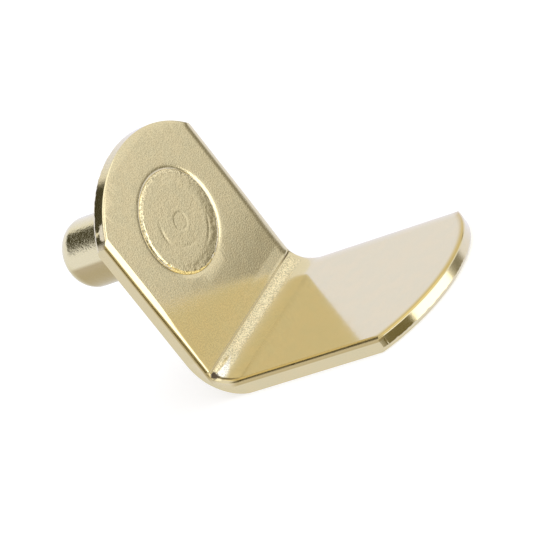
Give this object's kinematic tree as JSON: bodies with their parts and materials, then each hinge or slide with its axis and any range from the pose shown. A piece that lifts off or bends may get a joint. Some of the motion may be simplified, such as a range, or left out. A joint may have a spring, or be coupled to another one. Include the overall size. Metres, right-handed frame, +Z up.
{
  "type": "shelf support pin",
  "caption": "Folded metal shelf support with a round plug pin for a cabinet-side hole and a level leg under the shelf.",
  "frame": {"origin": "on the axis of the pin, in the face of the wall leg that touches the cabinet side", "axes": "+X out of the cabinet side into the room, +Y along the fold, +Z up; the pin points along -X and the shelf leg lies level"},
  "size_m": [0.035, 0.0168, 0.0216],
  "materials": {
    "plated_strip": "bright brass plating with a fine satin grain, lacquered",
    "plated_pin": "bright brass plating, turned and polished, lacquered"
  },
  "bodies": {
    "root": {"bracket": "plated_strip", "pin": "plated_pin"}
  },
  "joints": []
}
